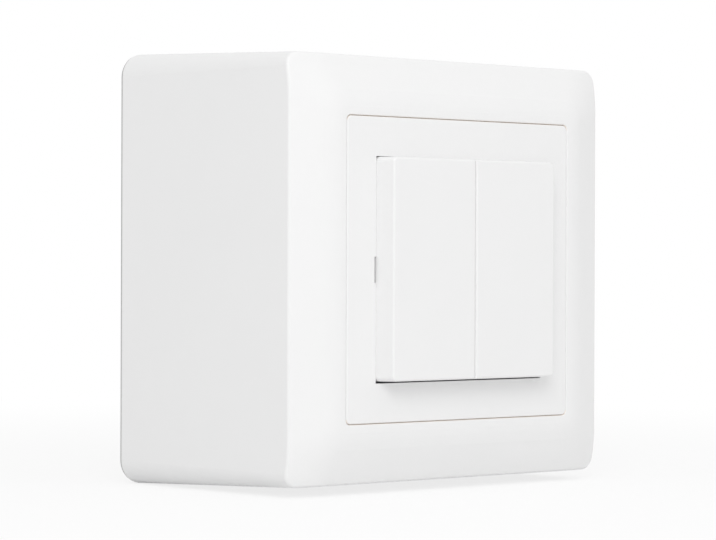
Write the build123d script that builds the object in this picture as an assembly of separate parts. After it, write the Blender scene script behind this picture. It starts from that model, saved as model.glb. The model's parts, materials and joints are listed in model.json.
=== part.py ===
from build123d import *
import os
from math import cos, radians, sin, tan

# Surface push button switch with two rocking keys, in millimetres.
# It is drawn lying on its back: X across, Y up the wall, Z out from the wall.
# Every solid is stood up at the end, so that the wall is the plane Y = 0 and the keys face -Y.

# Hood: one moulding with drafted sides and a convex front frame
hood_size = 81.0
hood_corner = 4.5
hood_inner_corner = 3.0
hood_draft = 2.35
hood_wall = 2.0
hood_rear_round = 1.5
front_edge_round = 0.7
plate_front = 51.2
opening_size = 55.15
opening_corner = 1.0
opening_round = 0.3
frame_slope = 20.0
frame_roll = 4.0
frame_arc_run = 4.6
frame_soft_corner = 9.0
sleeve_wall = 1.5
ledge_thickness = 1.6
ledge_width = 1.5

# Centre plate, clipped to the support frame over the hood's ledge
side_seam = 0.03
end_seam = 0.07
plate_face = 1.8
plate_rim_depth = 3.0
plate_rim_wall = 1.6
plate_edge_round = 0.3
plate_collar_wall = 1.2
plate_collar_gap = 0.2
pry_notch_length = 4.7
pry_notch_depth = 0.37
leg_width = 6.0
leg_thickness = 1.0
leg_spacing = 28.0
leg_hook = 0.5
leg_hook_height = 1.0
leg_clearance = 0.1
leg_ledge_gap = 0.2
leg_flex = 0.6

# Keys and the rockers inside them
key_width = 41.3
key_height = 40.3
key_inset = 0.55
key_end_inset = 0.1
key_proud = 4.2
key_gap = 0.08
key_side_clearance = 0.03
key_top_gap = 0.1
key_bottom_gap = 0.36
key_wall = 1.4
key_face = 1.6
key_skirt = 1.6
key_corner = 0.9
key_round = 0.45
key_catch = 0.4
key_catch_height = 0.6
key_catch_length = 8.0
key_axle_gap = 0.3
rocker_clearance = 0.2
rocker_plate = 1.6
rocker_web = 1.6
rocker_web_depth = 3.0
rocker_pad = 5.0
rocker_pad_gap = 1.1
hub_radius = 2.4
hub_width = 8.0
hub_clearance = 3.0

# Bearing of the rockers
axle_radius = 1.2
axle_running = 0.05
axle_seat = 0.02
ear_thickness = 1.6
ear_side_gap = 0.3
ear_wall = 0.7

# Support frame, a pressed sheet, and its two screws
sheet = 1.0
sheet_corner = 6.0
sheet_opening_clearance = 0.2
sheet_lip = 2.5
screw_slot_radius = 1.9
screw_slot_length = 7.0
screw_margin = 3.4
device_screw_radius = 1.6
device_screw_length = 12.0
device_head_radius = 3.0
device_head_height = 1.5
head_clearance = 0.6
screw_seat = 0.05
driver_slot_width = 0.8
driver_slot_depth = 0.7

# Wall base
base_floor = 2.0
base_rim = 1.6
base_rim_height = 8.0
base_corner = 2.4
base_clearance = 0.3
cable_entry_radius = 10.0
wall_slot_margin = 2.27
wall_slot_radius = 2.2
wall_slot_length = 8.0
pillar_radius = 4.0
pillar_bore_depth = 16.0
gusset_thickness = 1.6
gusset_height = 22.0

# Switch insert: socket, cover tray and what is inside
insert_depth = 22.0
insert_corner = 2.0
insert_wall = 1.6
insert_floor = 1.6
insert_flange = 1.4
flange_gap = 0.2
flange_lip = 1.2
barrier = 1.6
cover_flange = 1.0
tray_wall = 1.2
tray_floor = 1.4
tray_depth = 2.8
tray_clearance = 0.2
tray_corner = 1.0
cover_screw_radius = 1.1
cover_screw_length = 9.0
cover_head_radius = 2.0
cover_head_height = 1.2
cover_head_gap = 2.0
cover_boss_radius = 2.6

# Plungers
plunger_inset = 5.65
plunger_radius = 1.8
plunger_guide = 0.05
plunger_gap = 0.08
plunger_dome = 6.0
plunger_tip_radius = 1.3
collar_radius = 2.7
collar_height = 1.0
collar_drop = 1.0
guide_boss_radius = 3.0
guide_boss_height = 0.3

# Contacts and terminals
strip_thickness = 0.7
strip_width = 5.0
strip_tail = 5.0
contact_radius = 1.3
contact_height = 0.35
leaf_thickness = 0.4
leaf_width = 4.4
leaf_root = 1.2
leaf_foot = 6.0
leaf_rise = 1.5
leaf_rise_run = 2.5
leaf_overhang = 1.6
bar_half_length = 6.4
bar_width = 5.0
rivet_arm = 3.5
rivet_radius = 0.8
rivet_head_radius = 1.4
rivet_head_height = 0.5
block_width = 6.0
block_length = 4.6
block_height = 7.0
block_wall_gap = 1.3
wire_hole_radius = 1.6
wire_entry_radius = 2.0
wire_funnel = 0.6
terminal_screw_radius = 1.45
terminal_screw_length = 2.4
terminal_head_radius = 2.3
terminal_head_height = 1.1
driver_hole_radius = 1.9
cheek_thickness = 1.2
cheek_height = 4.0
cheek_clearance = 0.1

# Distances from the wall that follow from the sizes above
ledge_front = plate_front - plate_rim_depth
sheet_front = ledge_front - ledge_thickness
sheet_rear = sheet_front - sheet
insert_rear = sheet_rear - insert_depth
cavity_rear = insert_rear + insert_floor
tray_top = sheet_front + cover_flange - tray_depth
tray_rear = tray_top - tray_floor
plate_collar_rear = sheet_front + cover_flange + plate_collar_gap
pivot_height = tray_top + hub_radius + hub_clearance
rocker_pad_rear = tray_top + guide_boss_height + rocker_pad_gap
key_front = plate_front + key_proud
skirt_rear = plate_front - key_skirt
rocker_front = key_front - key_face
rocker_rear = rocker_front - rocker_plate
plunger_top = rocker_pad_rear - plunger_gap
block_top = cavity_rear + block_height
strip_top = block_top + strip_thickness
leaf_top = strip_top + leaf_rise + leaf_thickness
plunger_rear = leaf_top + plunger_gap

# Distances across that follow, from the front opening inwards to the insert
plate_width = opening_size - 2 * side_seam
plate_height = opening_size - 2 * end_seam
ledge_inner = opening_size - 2 * ledge_width
leg_outer = ledge_inner / 2 - leg_ledge_gap
leg_inner = leg_outer - leg_thickness
flange_size = 2 * (leg_inner - leg_flex - flange_gap)
insert_size = flange_size - 2 * flange_lip
insert_inner = insert_size - 2 * insert_wall
tray_size = insert_inner - 2 * tray_clearance
tray_inner = tray_size - 2 * tray_wall
cover_screw_spacing = tray_inner - 2 * (cover_head_radius + cover_head_gap)
block_outer = insert_inner / 2 - block_wall_gap
block_inner = block_outer - block_length
block_centre = block_outer - block_length / 2

# Distances across that follow, for the keys
key_front_width = key_width - 2 * key_inset
key_front_height = key_height - 2 * key_end_inset
key_opening_width = key_width + 2 * key_side_clearance
key_opening_height = key_height + key_top_gap + key_bottom_gap
key_rise = (key_bottom_gap - key_top_gap) / 2
key_centre = (key_front_width + key_gap) / 4
key_inner_width = (key_front_width - key_gap) / 2 - 2 * key_wall
key_inner_height = key_front_height - 2 * key_wall
plunger_arm = key_inner_height / 2 - plunger_inset

# Distances across that follow, inside the hood: its hollow narrows away from the wall
hollow_half = hood_size / 2 - hood_wall
hollow_draft = tan(radians(hood_draft))
screw_spacing = flange_size / 2 + hollow_half - sheet_rear * hollow_draft
sheet_size = screw_spacing + 2 * screw_margin
base_size = 2 * (hollow_half - base_rim_height * hollow_draft - base_clearance)
base_inner = base_size - 2 * base_rim
wall_slot_spacing = base_inner - wall_slot_length - 2 * wall_slot_margin


def slab(width, height, low, high, corner=0.0):
    """Prism over a rectangle on the axis, between two distances from the wall."""
    outline = RectangleRounded(width, height, corner) if corner else Rectangle(width, height)
    return Pos(0, 0, low) * extrude(outline, high - low)


def bar(x_low, x_high, y_low, y_high, low, high):
    """Box between limits along all three axes."""
    middle = Pos((x_low + x_high) / 2, (y_low + y_high) / 2, 0)
    return middle * slab(x_high - x_low, y_high - y_low, low, high)


def rod(radius, low, high):
    """Cylinder on the axis, between two distances from the wall."""
    return Pos(0, 0, low) * extrude(Circle(radius), high - low)


def slot(radius, length, low, high):
    """Slotted hole along Y with round ends, between two distances from the wall."""
    return Pos(0, 0, low) * extrude(Rot(0, 0, 90) * SlotOverall(length, 2 * radius), high - low)


def strip(points, thickness, width):
    """Sheet metal strip: a bent line in the YZ plane, thickened upwards and spread along X."""
    line = Polyline(*points)
    outline = offset(line, thickness, kind=Kind.INTERSECTION, side=Side.LEFT)
    return extrude(Plane.YZ * make_face(outline), width / 2, both=True)


def screw(radius, length, head_radius, head_height):
    """Slotted pan head screw: the head's underside is at Z = 0, the shank runs to -Z."""
    head = chamfer(rod(head_radius, 0, head_height).edges().group_by(Axis.Z)[-1], head_height / 4)
    solid = rod(radius, -length, 0) + head
    groove = slab(3 * head_radius, driver_slot_width, head_height - driver_slot_depth, 2 * head_height)
    return solid - groove


def four_ways():
    """Signs of the four switching places, with the names used for them."""
    for side, side_sign in (("left", -1), ("right", 1)):
        for end, end_sign in (("upper", 1), ("lower", -1)):
            yield f"{side}_{end}", side_sign, end_sign


def crown_level(run, fall):
    """Square with soft corners, a given run outwards from the seam and fall below the crest."""
    frame_width = (hood_size - opening_size) / 2
    side = opening_size + 2 * run
    corner = opening_corner + (frame_soft_corner - opening_corner) * run / frame_width
    return Pos(0, 0, plate_front - fall) * RectangleRounded(side, side, corner)


def crown(drop):
    """Block under the convex front, lowered by drop: an arc over the crest, then a straight slope."""
    slope = radians(frame_slope)
    roll = radians(frame_roll)
    radius = frame_arc_run / (sin(slope) + sin(roll))
    arc_steps = 6
    arc = []
    for step in range(arc_steps + 1):
        turn = slope - (slope + roll) * step / arc_steps
        arc.append(crown_level(radius * (sin(turn) + sin(roll)), radius * (1 - cos(turn))))
    overrun = (hood_size - opening_size) / 2 + hood_corner - frame_arc_run
    lowest_fall = radius * (1 - cos(slope)) + overrun * tan(slope)
    foot = crown_level(frame_arc_run + overrun, lowest_fall)
    below = slab(1.2 * hood_size, 1.2 * hood_size, -hood_wall, plate_front - lowest_fall)
    return Pos(0, 0, -drop) * (loft(arc) + loft([foot, arc[0]], ruled=True) + below)


def hood_block(inset, corner, drop):
    """Drafted block with the convex front, for the outside and the hollow of the hood."""
    outline = RectangleRounded(hood_size - 2 * inset, hood_size - 2 * inset, corner)
    return extrude(outline, plate_front + hood_wall, taper=hood_draft) & crown(drop)


def front_edges(solid):
    """Edges where the drafted sides meet the convex front."""
    sides = [face for face in solid.faces() if abs(face.normal_at().Z) < 0.5]
    rims = [side.edges().sort_by(Axis.Z)[-1] for side in sides]
    return ShapeList(rims)


def seam_edges(solid):
    """Edges of the front opening, where the crown rolls over into it."""
    reach = opening_size / 2 + opening_round
    high = solid.edges().filter_by_position(Axis.Z, plate_front - opening_round, plate_front)
    return high.filter_by(lambda edge: max(abs(edge.center().X), abs(edge.center().Y)) < reach)


def surface_hood():
    """Hood with its front frame, a sleeve round the opening and a ledge behind the centre plate."""
    outside = hood_block(0, hood_corner, 0)
    outside = fillet(front_edges(outside), front_edge_round)
    outside = fillet(outside.edges().group_by(Axis.Z)[0], hood_rear_round)
    hollow = hood_block(hood_wall, hood_inner_corner, hood_wall)
    sleeve_size = opening_size + 2 * sleeve_wall
    sleeve = slab(sleeve_size, sleeve_size, sheet_front, plate_front) & outside
    hood = outside - hollow + sleeve
    hood -= slab(opening_size, opening_size, ledge_front, plate_front + hood_wall, opening_corner)
    hood = fillet(seam_edges(hood), opening_round)
    hood -= slab(ledge_inner, ledge_inner, 0, plate_front, opening_corner)
    notch_reach = screw_spacing / 2 + device_head_radius + head_clearance
    notch_half = device_head_radius + head_clearance
    notch_top = sheet_front + device_head_height + head_clearance
    return hood - bar(-notch_reach, notch_reach, -notch_half, notch_half, sheet_front, notch_top)


def wall_base():
    """Tray for the wall with slots, cable entry and two screw pillars, each stiffened by a gusset."""
    base = slab(base_size, base_size, 0, base_rim_height, base_corner)
    base -= slab(base_inner, base_inner, base_floor, sheet_rear, base_corner - base_rim / 2)
    rim_middle = (base_size - base_rim) / 2
    pillar = Pos(screw_spacing / 2, 0, 0) * rod(pillar_radius, 0, sheet_rear)
    gusset_side = Polyline(
        (screw_spacing / 2, base_floor / 2),
        (rim_middle, base_floor / 2),
        (rim_middle, base_rim_height),
        (screw_spacing / 2, gusset_height),
        close=True,
    )
    pillar += extrude(Plane.XZ * make_face(gusset_side), gusset_thickness / 2, both=True)
    bore = rod(device_screw_radius + screw_seat, sheet_rear - pillar_bore_depth, sheet_rear)
    pillar -= Pos(screw_spacing / 2, 0, 0) * bore
    base += pillar + mirror(pillar, about=Plane.YZ)
    base -= rod(cable_entry_radius, 0, base_floor)
    wall_slot = slot(wall_slot_radius, wall_slot_length, 0, base_floor)
    for end in (-1, 1):
        base -= Pos(0, end * wall_slot_spacing / 2, 0) * wall_slot
    return base


def support_frame():
    """Pressed sheet with two folded lips, an insert opening, screw slots and a slot for each plate leg."""
    frame = slab(sheet_size, sheet_size, sheet_rear, sheet_front, sheet_corner)
    edge = sheet_size / 2
    lip_half = edge - sheet_corner
    bend = Pos(0, edge - sheet, sheet_rear) * Rot(0, 90, 0) * Cylinder(sheet, 2 * lip_half)
    lip = bar(-lip_half, lip_half, edge - sheet, edge, sheet_rear - sheet_lip, sheet_rear)
    fold_space = bar(-lip_half, lip_half, edge - sheet, edge, sheet_rear, sheet_front)
    for turn in (0, 180):
        frame -= Rot(0, 0, turn) * (fold_space - bend)
        frame += Rot(0, 0, turn) * lip
    clear = insert_size + 2 * sheet_opening_clearance
    frame -= slab(clear, clear, sheet_rear, sheet_front, insert_corner)
    screw_slot = slot(screw_slot_radius, screw_slot_length, sheet_rear, sheet_front)
    for turn in range(4):
        frame -= Rot(0, 0, 90 * turn) * Pos(screw_spacing / 2, 0, 0) * screw_slot
    leg_half = leg_width / 2 + leg_clearance
    slot_outer = leg_outer + leg_clearance
    leg_slot = bar(-leg_half, leg_half, leg_inner - leg_flex, slot_outer, sheet_rear, sheet_front)
    for side in (-1, 1):
        for turn in (0, 180):
            frame -= Rot(0, 0, turn) * Pos(side * leg_spacing / 2, 0, 0) * leg_slot
    return frame


def device_screws():
    """The two screws that hold the support frame on the pillars."""
    one = screw(device_screw_radius, device_screw_length, device_head_radius, device_head_height)
    return Compound([Pos(side * screw_spacing / 2, 0, sheet_front) * one for side in (-1, 1)])


def centre_plate():
    """Plate with a turned-back rim, a collar round the keys, pry notches and four snap legs."""
    plate = slab(plate_width, plate_height, ledge_front, plate_front, opening_corner)
    plate = fillet(plate.faces().sort_by(Axis.Z)[-1].edges(), plate_edge_round)
    inner_width = plate_width - 2 * plate_rim_wall
    inner_height = plate_height - 2 * plate_rim_wall
    face_rear = plate_front - plate_face
    plate -= slab(inner_width, inner_height, ledge_front, face_rear)
    collar_across = key_opening_width + 2 * plate_collar_wall
    collar_upwards = key_opening_height + 2 * plate_collar_wall
    plate += slab(collar_across, collar_upwards, plate_collar_rear, face_rear)
    plate -= slab(key_opening_width, key_opening_height, plate_collar_rear, plate_front)
    notch = key_opening_width / 2 + pry_notch_depth
    notch_half = pry_notch_length / 2
    plate -= bar(-notch, notch, -notch_half, notch_half, plate_collar_rear, plate_front)
    hook_top = sheet_rear - leg_clearance
    leg_rear = hook_top - leg_hook_height
    leg = bar(-leg_width / 2, leg_width / 2, leg_inner, leg_outer, leg_rear, face_rear)
    leg += bar(-leg_width / 2, leg_width / 2, leg_outer, leg_outer + leg_hook, leg_rear, hook_top)
    for side in (-1, 1):
        for turn in (0, 180):
            plate += Rot(0, 0, turn) * Pos(side * leg_spacing / 2, 0, 0) * leg
    return plate


def along_x(radius, length):
    """Cylinder along X, centred on the rockers' axis."""
    return Pos(0, 0, pivot_height) * Rot(0, 90, 0) * Cylinder(radius, length)


def key(side):
    """Hollow push key, a little high in its opening: its outer side leans in, catches hold the rocker."""
    base_outline = Pos(0, 0, plate_front) * RectangleRounded(key_width, key_height, key_corner)
    front_outline = Pos(0, 0, key_front) * RectangleRounded(key_front_width, key_front_height, key_corner)
    block = loft([base_outline, front_outline], ruled=True)
    block += slab(key_width, key_height, skirt_rear, plate_front, key_corner)
    block &= bar(key_gap / 2, key_width, -key_height, key_height, 0, 2 * plate_front)
    cap = Pos(0, key_rise, 0) * fillet(block.faces().sort_by(Axis.Z)[-1].edges(), key_round)
    inner = Pos(key_centre, 0, 0) * slab(key_inner_width, key_inner_height, skirt_rear, rocker_front)
    cap -= inner
    cap -= along_x(axle_radius + key_axle_gap, key_gap + 3 * key_wall)
    catch_low = rocker_rear - key_catch_height
    catch_inner = key_inner_height / 2 - key_catch
    catch_outer = key_inner_height / 2 + key_wall / 2
    catch_half = key_catch_length / 2
    catch = bar(-catch_half, catch_half, catch_inner, catch_outer, catch_low, rocker_rear)
    for turn in (0, 180):
        cap += Pos(key_centre, 0, 0) * Rot(0, 0, turn) * catch
    return cap if side > 0 else mirror(cap, about=Plane.YZ)


def rocker(side):
    """Carrier inside a key: plate, web, bearing hub and a pad above each plunger."""
    width = key_inner_width - 2 * rocker_clearance
    height = key_inner_height - 2 * rocker_clearance
    carrier = slab(width, height, rocker_rear, rocker_front)
    web_half = rocker_web / 2
    web_end = plunger_arm + rocker_pad / 2
    carrier += bar(-web_half, web_half, -web_end, web_end, rocker_rear - rocker_web_depth, rocker_rear)
    carrier += bar(-hub_width / 2, hub_width / 2, -axle_radius, axle_radius, pivot_height, rocker_rear)
    carrier += along_x(hub_radius, hub_width)
    pad = slab(rocker_pad, rocker_pad, rocker_pad_rear, rocker_rear)
    for end in (-1, 1):
        carrier += Pos(0, end * plunger_arm, 0) * pad
    carrier -= along_x(axle_radius + axle_running, 2 * hub_width)
    return Pos(side * key_centre, 0, 0) * carrier


def ear_offset():
    """Distance from a rocker's middle to the middle of the bearing ear beside it."""
    return hub_width / 2 + ear_side_gap + ear_thickness / 2


def pivot_axle():
    """Steel pin through both rockers, ending flush with the outer ears."""
    return along_x(axle_radius, 2 * (key_centre + ear_offset()) + ear_thickness)


def terminal_places():
    """Places of the six terminals on the insert's floor, each with +Y outwards."""
    for side in (-1, 1):
        yield Pos(side * block_centre, 0, cavity_rear) * Rot(0, 0, -90 * side)
        for turn in (0, 180):
            yield Rot(0, 0, turn) * Pos(side * key_centre, block_centre, cavity_rear)


def insert_body():
    """Socket of the insert: flanged box with a barrier, contact posts, terminal cheeks and wire holes."""
    body = slab(insert_size, insert_size, insert_rear, sheet_front, insert_corner)
    body += slab(flange_size, flange_size, sheet_rear - insert_flange, sheet_rear, insert_corner)
    body -= slab(insert_inner, insert_inner, cavity_rear, sheet_front, tray_corner + tray_clearance)
    body += bar(-barrier / 2, barrier / 2, -insert_inner / 2, insert_inner / 2, insert_rear, tray_rear)
    for end in (-1, 1):
        at_boss = Pos(0, end * cover_screw_spacing / 2, 0)
        body += at_boss * rod(cover_boss_radius, insert_rear, tray_rear)
        body -= at_boss * rod(cover_screw_radius + screw_seat, tray_rear - cover_screw_length, tray_rear)
    post = slab(bar_width, 2 * bar_half_length, insert_rear, block_top)
    for side in (-1, 1):
        body += Pos(side * key_centre, 0, 0) * post
    cheek_middle = block_width / 2 + cheek_clearance + cheek_thickness / 2
    cheek = slab(cheek_thickness, block_length, -insert_floor, cheek_height)
    driver_hole = Rot(-90, 0, 0) * rod(driver_hole_radius, 0, block_wall_gap + 2 * insert_wall)
    wire_hole = rod(wire_entry_radius, -insert_floor, 0)
    funnel = Cone(wire_entry_radius + wire_funnel, wire_entry_radius, wire_funnel)
    wire_hole += Pos(0, 0, wire_funnel / 2 - insert_floor) * funnel
    for place in terminal_places():
        for edge in (-1, 1):
            body += place * Pos(edge * cheek_middle, 0, 0) * cheek
        body -= place * wire_hole
        body -= place * Pos(0, block_length / 2, block_height / 2) * driver_hole
    return body


def insert_cover():
    """Flanged tray over the insert, with bearing ears and plunger guides on its floor."""
    cover = slab(flange_size, flange_size, sheet_front, sheet_front + cover_flange, insert_corner)
    cover += slab(tray_size, tray_size, tray_rear, sheet_front, tray_corner)
    cover -= slab(tray_inner, tray_inner, tray_top, plate_front)
    ear_half = axle_radius + ear_wall
    for side in (-1, 1):
        for edge in (-1, 1):
            at_ear = Pos(side * key_centre + edge * ear_offset(), 0, 0)
            cover += at_ear * slab(ear_thickness, 2 * ear_half, tray_rear, pivot_height)
            cover += at_ear * along_x(ear_half, ear_thickness)
    for name, side, end in four_ways():
        at_guide = Pos(side * key_centre, end * plunger_arm, 0)
        cover += at_guide * rod(guide_boss_radius, tray_rear, tray_top + guide_boss_height)
        cover -= at_guide * rod(plunger_radius + plunger_guide, tray_rear, plate_front)
    for end in (-1, 1):
        at_screw = Pos(0, end * cover_screw_spacing / 2, 0)
        cover -= at_screw * rod(cover_screw_radius + screw_seat, tray_rear, tray_top)
    return cover - along_x(axle_radius + axle_seat, insert_size)


def cover_screws():
    """The two screws that close the insert."""
    one = screw(cover_screw_radius, cover_screw_length, cover_head_radius, cover_head_height)
    return Compound([Pos(0, end * cover_screw_spacing / 2, tray_top) * one for end in (-1, 1)])


def plunger(side, end):
    """Round plunger with a domed top, a collar under the tray and a thinner tip on the leaf."""
    collar_front = tray_rear - collar_drop
    collar_rear = collar_front - collar_height
    stem = rod(plunger_radius, collar_rear, plunger_top)
    stem &= Pos(0, 0, plunger_top - plunger_dome) * Sphere(plunger_dome)
    stem += rod(plunger_radius, collar_rear, plunger_top - plunger_dome / 2)
    stem += rod(collar_radius, collar_rear, collar_front)
    stem += rod(plunger_tip_radius, plunger_rear, collar_rear)
    return Pos(side * key_centre, end * plunger_arm, 0) * stem


def towards(side, end, solid):
    """Place a solid drawn on the upper middle line at one of the four switching places."""
    turned = solid if end > 0 else mirror(solid, about=Plane.XZ)
    return Pos(side * key_centre, 0, 0) * turned


def leaf(side, end):
    """Sprung contact leaf: riveted foot, raised arm under the plunger and free end over the contact."""
    points = [
        (leaf_root, strip_top),
        (leaf_foot, strip_top),
        (leaf_foot + leaf_rise_run, strip_top + leaf_rise),
        (block_centre + leaf_overhang, strip_top + leaf_rise),
    ]
    blade = strip(points, leaf_thickness, leaf_width)
    blade -= Pos(0, rivet_arm, 0) * rod(rivet_radius + screw_seat, strip_top, strip_top + leaf_thickness)
    return towards(side, end, blade)


def fixed_contact(side, end):
    """Contact strip over a terminal block, with a turned-down tail and a raised contact point."""
    points = [(block_inner, block_top - strip_tail), (block_inner, block_top), (block_outer, block_top)]
    metal = strip(points, strip_thickness, strip_width)
    metal += Pos(0, block_centre, 0) * rod(contact_radius, strip_top, strip_top + contact_height)
    return towards(side, end, metal)


def common_bar(side):
    """Bar that carries both leaves of a key, with a tongue to its terminal block."""
    metal = slab(bar_width, 2 * bar_half_length, block_top, strip_top)
    metal += bar(0, block_outer - key_centre, -strip_width / 2, strip_width / 2, block_top, strip_top)
    for end in (-1, 1):
        metal -= Pos(0, end * rivet_arm, 0) * rod(rivet_radius + screw_seat, block_top, strip_top)
    metal = Pos(key_centre, 0, 0) * metal
    return metal if side > 0 else mirror(metal, about=Plane.YZ)


def leaf_rivets():
    """The four rivets that fix the leaves to the common bars."""
    head_rear = strip_top + leaf_thickness
    head = rod(rivet_head_radius, head_rear, head_rear + rivet_head_height)
    one = Pos(0, rivet_arm, 0) * (rod(rivet_radius, block_top, head_rear) + head)
    return Compound([towards(side, end, one) for name, side, end in four_ways()])


def terminal_blocks():
    """The six clamping blocks, each with a wire hole and a screw hole."""
    block = slab(block_width, block_length, 0, block_height)
    block -= rod(wire_hole_radius, 0, block_height)
    screw_hole = Rot(-90, 0, 0) * rod(terminal_screw_radius + screw_seat, 0, block_length / 2)
    block -= Pos(0, 0, block_height / 2) * screw_hole
    return Compound([place * block for place in terminal_places()])


def terminal_screws():
    """The six screws of the clamping blocks, heads outwards."""
    one = screw(terminal_screw_radius, terminal_screw_length, terminal_head_radius, terminal_head_height)
    seat = Pos(0, block_length / 2, block_height / 2) * Rot(-90, 0, 0)
    return Compound([place * seat * one for place in terminal_places()])


pieces = {
    "surface_hood": surface_hood(),
    "wall_base": wall_base(),
    "support_frame": support_frame(),
    "device_screws": device_screws(),
    "centre_plate": centre_plate(),
    "insert_body": insert_body(),
    "insert_cover": insert_cover(),
    "cover_screws": cover_screws(),
    "pivot_axle": pivot_axle(),
    "leaf_rivets": leaf_rivets(),
    "terminal_blocks": terminal_blocks(),
    "terminal_screws": terminal_screws(),
}
for side_name, side_sign in (("left", -1), ("right", 1)):
    pieces[f"{side_name}_key"] = key(side_sign)
    pieces[f"{side_name}_rocker"] = rocker(side_sign)
    pieces[f"{side_name}_common_bar"] = common_bar(side_sign)
for place_name, side_sign, end_sign in four_ways():
    pieces[f"{place_name}_plunger"] = plunger(side_sign, end_sign)
    pieces[f"{place_name}_leaf"] = leaf(side_sign, end_sign)
    pieces[f"{place_name}_contact"] = fixed_contact(side_sign, end_sign)

os.makedirs("parts", exist_ok=True)
stand_up = Rot(90, 0, 0)
for piece_name, solid in pieces.items():
    export_step(stand_up * solid, f"parts/{piece_name}.step")
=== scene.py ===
import json
from math import cos, radians, sin

import bmesh
import bpy
from mathutils import Matrix, Vector


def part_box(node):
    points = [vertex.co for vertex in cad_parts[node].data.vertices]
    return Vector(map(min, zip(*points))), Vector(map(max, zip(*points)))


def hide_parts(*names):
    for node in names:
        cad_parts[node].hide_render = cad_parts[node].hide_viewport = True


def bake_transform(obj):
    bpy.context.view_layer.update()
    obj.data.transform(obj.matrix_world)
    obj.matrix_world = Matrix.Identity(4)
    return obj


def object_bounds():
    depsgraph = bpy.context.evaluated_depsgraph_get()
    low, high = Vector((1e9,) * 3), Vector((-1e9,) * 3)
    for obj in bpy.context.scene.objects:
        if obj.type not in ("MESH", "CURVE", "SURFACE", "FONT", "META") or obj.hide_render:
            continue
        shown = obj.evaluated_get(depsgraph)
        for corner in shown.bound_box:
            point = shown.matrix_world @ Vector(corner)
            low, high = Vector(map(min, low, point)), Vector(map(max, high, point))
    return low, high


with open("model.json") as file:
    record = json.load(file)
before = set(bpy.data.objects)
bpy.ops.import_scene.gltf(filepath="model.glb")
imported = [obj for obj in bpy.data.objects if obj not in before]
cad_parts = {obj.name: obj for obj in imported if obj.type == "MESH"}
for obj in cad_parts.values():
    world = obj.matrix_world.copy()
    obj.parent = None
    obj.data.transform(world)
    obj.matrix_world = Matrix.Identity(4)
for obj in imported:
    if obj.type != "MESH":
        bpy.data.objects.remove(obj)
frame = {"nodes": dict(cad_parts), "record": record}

# Looks of a white surface push button switch, in metres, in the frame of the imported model:
# the wall is the plane Y = 0, the keys face -Y and +Z is up.

cad_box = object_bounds()

# Camera: where it stands, and how far it turns from facing +Y towards +X, tips up and rolls, in degrees
camera_place = (-0.34772, -0.42346, 0.00119)
camera_turn = 40.926
camera_pitch = -0.1415
camera_roll = 0.1957
image_width = 716
focal_pixels = 2768.2
sensor_width = 36.0
nearest_seen = 0.01

# Light: a white surround, brighter in front than behind and brightest overhead, and one large soft lamp
front_light = 0.64
rear_light = 0.37
overhead_light = 0.36
lamp_turn = 41.0
lamp_rise = 30.0
lamp_distance = 1.0
lamp_size = 0.6
lamp_power = 2.95

# Floor: white, with the share of plain white that the camera sees in it, near the switch and far from it
floor_reach = 6.0
floor_colour = (0.92, 0.92, 0.92, 1.0)
near_white_share = 0.8
far_white_share = 1.0
near_distance = 0.05
far_distance = 0.30

# Colours of the materials, linear
white_plastic = (0.88, 0.88, 0.88)
key_white = (0.875, 0.875, 0.875)
base_white = (0.79, 0.79, 0.78)
insert_grey = (0.36, 0.37, 0.38)
rocker_white = (0.68, 0.68, 0.66)
plunger_ivory = (0.66, 0.64, 0.57)
zinc = (0.62, 0.63, 0.65)
steel = (0.60, 0.60, 0.61)
brass = (0.72, 0.55, 0.26)
bronze = (0.68, 0.44, 0.25)

# Plastics: a slow drift of colour and roughness, and a grain given by its scale and its height.
# Noise scales are in waves per metre.
drift_scale = 70.0
drift_detail = 3.0
colour_drift = 0.012
roughness_drift = 0.05
grain_detail = 2.0
grain_strength = 0.25
satin_grain = (3200.0, 0.000012)
plain_grain = (2200.0, 0.00002)
smooth_grain = (2600.0, 0.00001)

# White mouldings of the front: gloss, and painted warm light in the seams above and below the plate,
# standing in for light scattered through the plastic, which reaches inwards and outwards from the plate's
# edge and down from its face
gloss_level = 0.35
satin_roughness = 0.42
seam_painted_warm_light = (1.0, 0.90, 0.80)
seam_inwards = 0.0010
seam_outwards = 0.0003
seam_edge = 0.0002
seam_depth = 0.0003

# Painted shade: a fine dark line round the rear edge of the hood, by its distance from the wall, standing in
# for the shade on that edge
rear_edge_painted_shade = (0.45, 0.45, 0.45)
rear_line_distance = 0.0009
rear_line_half_width = 0.0002
rear_line_fade = 0.0004

# Metals: lines left by rolling or drawing
streak_scale = 900.0
streak_detail = 4.0
streak_colour_drift = 0.06
streak_roughness_drift = 0.08
streak_height = 0.00001
streak_strength = 0.3

# Contact leaves: how far the foot reaches from the middle of the switch, the run of the rise, and the strip
leaf_foot = 0.0060
leaf_rise_run = 0.0025
leaf_thickness = 0.0004
leaf_corner = 0.0008
leaf_steps = 48


def new_material(name):
    """New node material, with its nodes, its links and its surface shader."""
    material = bpy.data.materials.new(name)
    material.use_nodes = True
    tree = material.node_tree
    tree.nodes.clear()
    output = tree.nodes.new("ShaderNodeOutputMaterial")
    shader = tree.nodes.new("ShaderNodeBsdfPrincipled")
    tree.links.new(shader.outputs["BSDF"], output.inputs["Surface"])
    return material, tree.nodes, tree.links, shader


def noise(nodes, links, scale, detail, stretch=(1.0, 1.0, 1.0)):
    """Noise over the object's own coordinates."""
    place = nodes.new("ShaderNodeTexCoord")
    mapping = nodes.new("ShaderNodeMapping")
    mapping.inputs["Scale"].default_value = stretch
    texture = nodes.new("ShaderNodeTexNoise")
    texture.inputs["Scale"].default_value = scale
    texture.inputs["Detail"].default_value = detail
    links.new(place.outputs["Object"], mapping.inputs["Vector"])
    links.new(mapping.outputs["Vector"], texture.inputs["Vector"])
    return texture.outputs["Fac"]


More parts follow.
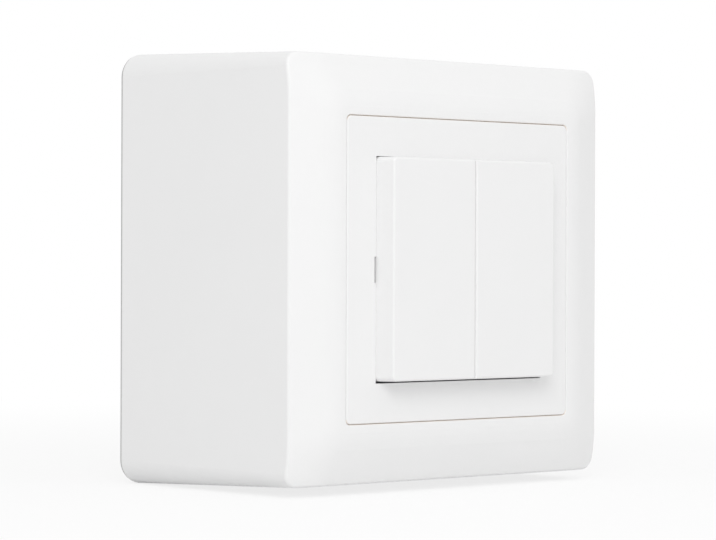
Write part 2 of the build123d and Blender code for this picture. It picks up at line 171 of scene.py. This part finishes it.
def vary_colour(nodes, links, shader, value, colour, spread):
    """Base colour that drifts by a small share about its middle."""
    mix = nodes.new("ShaderNodeMix")
    mix.data_type = "RGBA"
    mix.inputs["A"].default_value = (*[channel * (1 - spread) for channel in colour], 1.0)
    mix.inputs["B"].default_value = (*[channel * (1 + spread) for channel in colour], 1.0)
    links.new(value, mix.inputs["Factor"])
    links.new(mix.outputs["Result"], shader.inputs["Base Color"])


def vary_roughness(nodes, links, shader, value, low, high):
    """Roughness that drifts between two values."""
    span = nodes.new("ShaderNodeMapRange")
    span.inputs["To Min"].default_value = low
    span.inputs["To Max"].default_value = high
    links.new(value, span.inputs["Value"])
    links.new(span.outputs["Result"], shader.inputs["Roughness"])


def bump(nodes, links, shader, value, height, strength):
    """Fine relief on the surface."""
    relief = nodes.new("ShaderNodeBump")
    relief.inputs["Strength"].default_value = strength
    relief.inputs["Distance"].default_value = height
    links.new(value, relief.inputs["Height"])
    links.new(relief.outputs["Normal"], shader.inputs["Normal"])


def ramp(nodes, links, value, low, high, at_low, at_high):
    """Smooth change from one value to another between two values of an input."""
    change = nodes.new("ShaderNodeMapRange")
    change.interpolation_type = "SMOOTHSTEP"
    change.inputs["From Min"].default_value = low
    change.inputs["From Max"].default_value = high
    change.inputs["To Min"].default_value = at_low
    change.inputs["To Max"].default_value = at_high
    links.new(value, change.inputs["Value"])
    return change.outputs["Result"]


def combine(nodes, links, operation, first, second=None):
    """Arithmetic on one or two node values."""
    step = nodes.new("ShaderNodeMath")
    step.operation = operation
    links.new(first, step.inputs[0])
    if second is not None:
        links.new(second, step.inputs[1])
    return step.outputs["Value"]


def coordinates(nodes, links, kind):
    """X, Y and Z of a kind of texture coordinate."""
    place = nodes.new("ShaderNodeTexCoord")
    parts = nodes.new("ShaderNodeSeparateXYZ")
    links.new(place.outputs[kind], parts.inputs["Vector"])
    return parts.outputs


def tint(nodes, links, shader, amount, colour):
    """Multiply the base colour by another, by an amount that changes over the surface."""
    before = shader.inputs["Base Color"].links[0].from_socket
    mix = nodes.new("ShaderNodeMix")
    mix.data_type = "RGBA"
    mix.blend_type = "MULTIPLY"
    mix.inputs["B"].default_value = (*colour, 1.0)
    links.new(amount, mix.inputs["Factor"])
    links.new(before, mix.inputs["A"])
    links.new(mix.outputs["Result"], shader.inputs["Base Color"])


def moulded_plastic(name, colour, roughness, grain):
    """Moulded plastic with an eroded grain, and colour and gloss that drift a little over the piece."""
    material, nodes, links, shader = new_material(name)
    drift = noise(nodes, links, drift_scale, drift_detail)
    vary_colour(nodes, links, shader, drift, colour, colour_drift)
    vary_roughness(nodes, links, shader, drift, roughness - roughness_drift, roughness + roughness_drift)
    grain_scale, grain_height = grain
    bump(nodes, links, shader, noise(nodes, links, grain_scale, grain_detail), grain_height, grain_strength)
    return material


def front_plastic(name, colour, roughness):
    """Satin white moulding of the front, with painted warm light down in the seams above and below the
    plate.
    """
    material = moulded_plastic(name, colour, roughness, satin_grain)
    nodes, links = material.node_tree.nodes, material.node_tree.links
    shader = nodes["Principled BSDF"]
    shader.inputs["Specular IOR Level"].default_value = gloss_level
    # Painted light: the base colour is tinted warm deep in the seams, standing in for light scattered
    # through the plastic
    place = coordinates(nodes, links, "Object")
    across = combine(nodes, links, "ABSOLUTE", place["X"])
    upwards = combine(nodes, links, "ABSOLUTE", place["Z"])
    outwards = combine(nodes, links, "MAXIMUM", across, upwards)
    plate_low, plate_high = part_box("centre_plate")
    inner = plate_high.z - seam_inwards
    outer = plate_high.z + seam_outwards
    in_opening = ramp(nodes, links, outwards, outer, outer + seam_edge, 1.0, 0.0)
    near_seam = ramp(nodes, links, upwards, inner, inner + seam_edge, 0.0, 1.0)
    deep = ramp(nodes, links, place["Y"], plate_low.y, plate_low.y + seam_depth, 0.0, 1.0)
    in_seam = combine(nodes, links, "MULTIPLY", in_opening, near_seam)
    tint(nodes, links, shader, combine(nodes, links, "MULTIPLY", in_seam, deep), seam_painted_warm_light)
    return material


def hood_plastic(name):
    """White plastic of the hood, with painted shade: a fine dark line round its rear edge, just in front of
    the wall.
    """
    material = front_plastic(name, white_plastic, satin_roughness)
    nodes, links = material.node_tree.nodes, material.node_tree.links
    # Painted shade: the base colour is darkened in a fine band round the rear edge, where the edge turns
    # away from the light
    place = coordinates(nodes, links, "Object")
    front = -rear_line_distance - rear_line_half_width
    rear = -rear_line_distance + rear_line_half_width
    begun = ramp(nodes, links, place["Y"], front - rear_line_fade, front, 0.0, 1.0)
    not_ended = ramp(nodes, links, place["Y"], rear, rear + rear_line_fade, 1.0, 0.0)
    painted_shade_band = combine(nodes, links, "MULTIPLY", begun, not_ended)
    tint(nodes, links, nodes["Principled BSDF"], painted_shade_band, rear_edge_painted_shade)
    return material


def rolled_metal(name, colour, roughness, stretch):
    """Sheet or wire metal with lines along one axis, from rolling or drawing."""
    material, nodes, links, shader = new_material(name)
    shader.inputs["Metallic"].default_value = 1.0
    streaks = noise(nodes, links, streak_scale, streak_detail, stretch)
    vary_colour(nodes, links, shader, streaks, colour, streak_colour_drift)
    low, high = roughness - streak_roughness_drift, roughness + streak_roughness_drift
    vary_roughness(nodes, links, shader, streaks, low, high)
    bump(nodes, links, shader, streaks, streak_height, streak_strength)
    return material


materials = {
    "hood_plastic": hood_plastic("hood_plastic"),
    "plate_plastic": front_plastic("plate_plastic", white_plastic, satin_roughness),
    "key_plastic": front_plastic("key_plastic", key_white, roughness=0.40),
    "base_plastic": moulded_plastic("base_plastic", base_white, roughness=0.55, grain=plain_grain),
    "insert_plastic": moulded_plastic("insert_plastic", insert_grey, roughness=0.55, grain=plain_grain),
    "rocker_plastic": moulded_plastic("rocker_plastic", rocker_white, roughness=0.50, grain=plain_grain),
    "plunger_plastic": moulded_plastic("plunger_plastic", plunger_ivory, roughness=0.45, grain=smooth_grain),
    "zinc_sheet": rolled_metal("zinc_sheet", zinc, roughness=0.38, stretch=(0.15, 1.0, 1.0)),
    "screw_steel": rolled_metal("screw_steel", steel, roughness=0.32, stretch=(1.0, 0.3, 1.0)),
    "contact_brass": rolled_metal("contact_brass", brass, roughness=0.30, stretch=(1.0, 1.0, 0.15)),
    "leaf_bronze": rolled_metal("leaf_bronze", bronze, roughness=0.28, stretch=(1.0, 1.0, 0.1)),
}


def dress_nodes():
    """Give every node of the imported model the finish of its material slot."""
    for subpart in frame["record"]["subparts"]:
        mesh = frame["nodes"][subpart["node"]].data
        mesh.materials.clear()
        mesh.materials.append(materials[subpart["material_slot"]])


def smooth_step(value):
    """Rise from 0 to 1 with level ends."""
    held = min(max(value, 0.0), 1.0)
    return held * held * (3 - 2 * held)


def contact_leaf(place):
    """Sprung strip, riveted at its foot, drawn in one fixed shape that lies flat at the foot and then rises
    towards the front.
    """
    node = f"{place}_leaf"
    low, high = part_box(node)
    upward = 1 if low.z > 0 else -1
    root, tip = sorted((abs(low.z), abs(high.z)))
    lift = high.y - low.y - leaf_thickness
    half = (high.x - low.x) / 2
    middle = (high.x + low.x) / 2
    mesh = bmesh.new()
    rings = []
    for step in range(leaf_steps + 1):
        along = root + (tip - root) * step / leaf_steps
        rear = high.y - lift * smooth_step((along - leaf_foot) / leaf_rise_run)
        trim = max(0.0, leaf_corner - (tip - along))
        reach = half - trim
        ring = []
        for across, out in ((-reach, 0.0), (reach, 0.0), (reach, leaf_thickness), (-reach, leaf_thickness)):
            ring.append(mesh.verts.new((middle + across, rear - out, upward * along)))
        rings.append(ring)
    for near, far in zip(rings, rings[1:]):
        for corner in range(len(near)):
            after = (corner + 1) % len(near)
            mesh.faces.new((near[corner], near[after], far[after], far[corner]))
    mesh.faces.new(rings[0])
    mesh.faces.new(rings[-1])
    bmesh.ops.recalc_face_normals(mesh, faces=mesh.faces)
    data = bpy.data.meshes.new(f"{place}_spring_leaf")
    mesh.to_mesh(data)
    mesh.free()
    data.materials.append(materials["leaf_bronze"])
    leaf = bpy.data.objects.new(f"{place}_spring_leaf", data)
    bpy.context.scene.collection.objects.link(leaf)
    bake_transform(leaf)
    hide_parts(node)


def camera_rays(nodes, links):
    """1 for what the camera sees directly, in a mirror or through glass, and 0 for light on surfaces."""
    path = nodes.new("ShaderNodeLightPath")
    total = path.outputs["Is Camera Ray"]
    for kind in ("Is Glossy Ray", "Is Transmission Ray"):
        total = combine(nodes, links, "MAXIMUM", total, path.outputs[kind])
    return total


def white_surround():
    """World that lights softly from all sides and is seen as plain white."""
    world = bpy.data.worlds.new("white_surround")
    bpy.context.scene.world = world
    world.use_nodes = True
    nodes, links = world.node_tree.nodes, world.node_tree.links
    nodes.clear()
    output = nodes.new("ShaderNodeOutputWorld")
    direction = coordinates(nodes, links, "Generated")
    around = ramp(nodes, links, direction["Y"], -1.0, 1.0, front_light, rear_light)
    above = ramp(nodes, links, direction["Z"], 0.0, 1.0, 0.0, overhead_light)
    lighting = nodes.new("ShaderNodeBackground")
    links.new(combine(nodes, links, "ADD", around, above), lighting.inputs["Strength"])
    seen = nodes.new("ShaderNodeBackground")
    for background in (lighting, seen):
        background.inputs["Color"].default_value = (1.0, 1.0, 1.0, 1.0)
    mix = nodes.new("ShaderNodeMixShader")
    links.new(camera_rays(nodes, links), mix.inputs["Fac"])
    links.new(lighting.outputs["Background"], mix.inputs[1])
    links.new(seen.outputs["Background"], mix.inputs[2])
    links.new(mix.outputs["Shader"], output.inputs["Surface"])


def white_floor():
    """Floor under the lowest edge of the switch, white to the camera but still shaded by the switch."""
    bpy.ops.mesh.primitive_plane_add(size=2 * floor_reach, location=(0.0, 0.0, cad_box[0][2]))
    floor = bpy.context.object
    floor.name = "floor"
    material = bpy.data.materials.new("floor_white")
    material.use_nodes = True
    nodes, links = material.node_tree.nodes, material.node_tree.links
    nodes.clear()
    output = nodes.new("ShaderNodeOutputMaterial")
    matt = nodes.new("ShaderNodeBsdfDiffuse")
    matt.inputs["Color"].default_value = floor_colour
    white = nodes.new("ShaderNodeEmission")
    place = nodes.new("ShaderNodeTexCoord")
    distance = nodes.new("ShaderNodeVectorMath")
    distance.operation = "LENGTH"
    links.new(place.outputs["Object"], distance.inputs[0])
    reach = distance.outputs["Value"]
    whiteness = ramp(nodes, links, reach, near_distance, far_distance, near_white_share, far_white_share)
    share = combine(nodes, links, "MULTIPLY", camera_rays(nodes, links), whiteness)
    mix = nodes.new("ShaderNodeMixShader")
    links.new(share, mix.inputs["Fac"])
    links.new(matt.outputs["BSDF"], mix.inputs[1])
    links.new(white.outputs["Emission"], mix.inputs[2])
    links.new(mix.outputs["Shader"], output.inputs["Surface"])
    floor.data.materials.append(material)


def soft_lamp():
    """One large soft lamp that looks at the middle of the front."""
    target = Vector((0.0, cad_box[0][1], 0.0))
    turn, rise = radians(lamp_turn), radians(lamp_rise)
    towards = Vector((-sin(turn) * cos(rise), -cos(turn) * cos(rise), sin(rise)))
    light = bpy.data.lights.new("soft_lamp", "AREA")
    light.shape = "DISK"
    light.size = lamp_size
    light.energy = lamp_power
    lamp = bpy.data.objects.new("soft_lamp", light)
    lamp.location = target + lamp_distance * towards
    lamp.rotation_euler = towards.to_track_quat("Z", "Y").to_euler()
    bpy.context.scene.collection.objects.link(lamp)


def photo_camera():
    """Camera at the photograph's place, with its view angle."""
    turn, pitch, roll = radians(camera_turn), radians(camera_pitch), radians(camera_roll)
    forward = Vector((sin(turn) * cos(pitch), cos(turn) * cos(pitch), sin(pitch)))
    level = Vector((cos(turn), -sin(turn), 0.0))
    upright = level.cross(forward)
    right = cos(roll) * level + sin(roll) * upright
    up = cos(roll) * upright - sin(roll) * level
    data = bpy.data.cameras.new("photo_camera")
    data.sensor_width = sensor_width
    data.lens = focal_pixels / image_width * sensor_width
    data.clip_start = nearest_seen
    camera = bpy.data.objects.new("photo_camera", data)
    axes = Matrix((right, up, -forward)).transposed().to_4x4()
    camera.matrix_world = Matrix.Translation(camera_place) @ axes
    bpy.context.scene.collection.objects.link(camera)
    bpy.context.scene.camera = camera


dress_nodes()
for side in ("left", "right"):
    for end in ("upper", "lower"):
        contact_leaf(f"{side}_{end}")
white_surround()
white_floor()
soft_lamp()
photo_camera()
bpy.context.scene.view_settings.view_transform = "Standard"
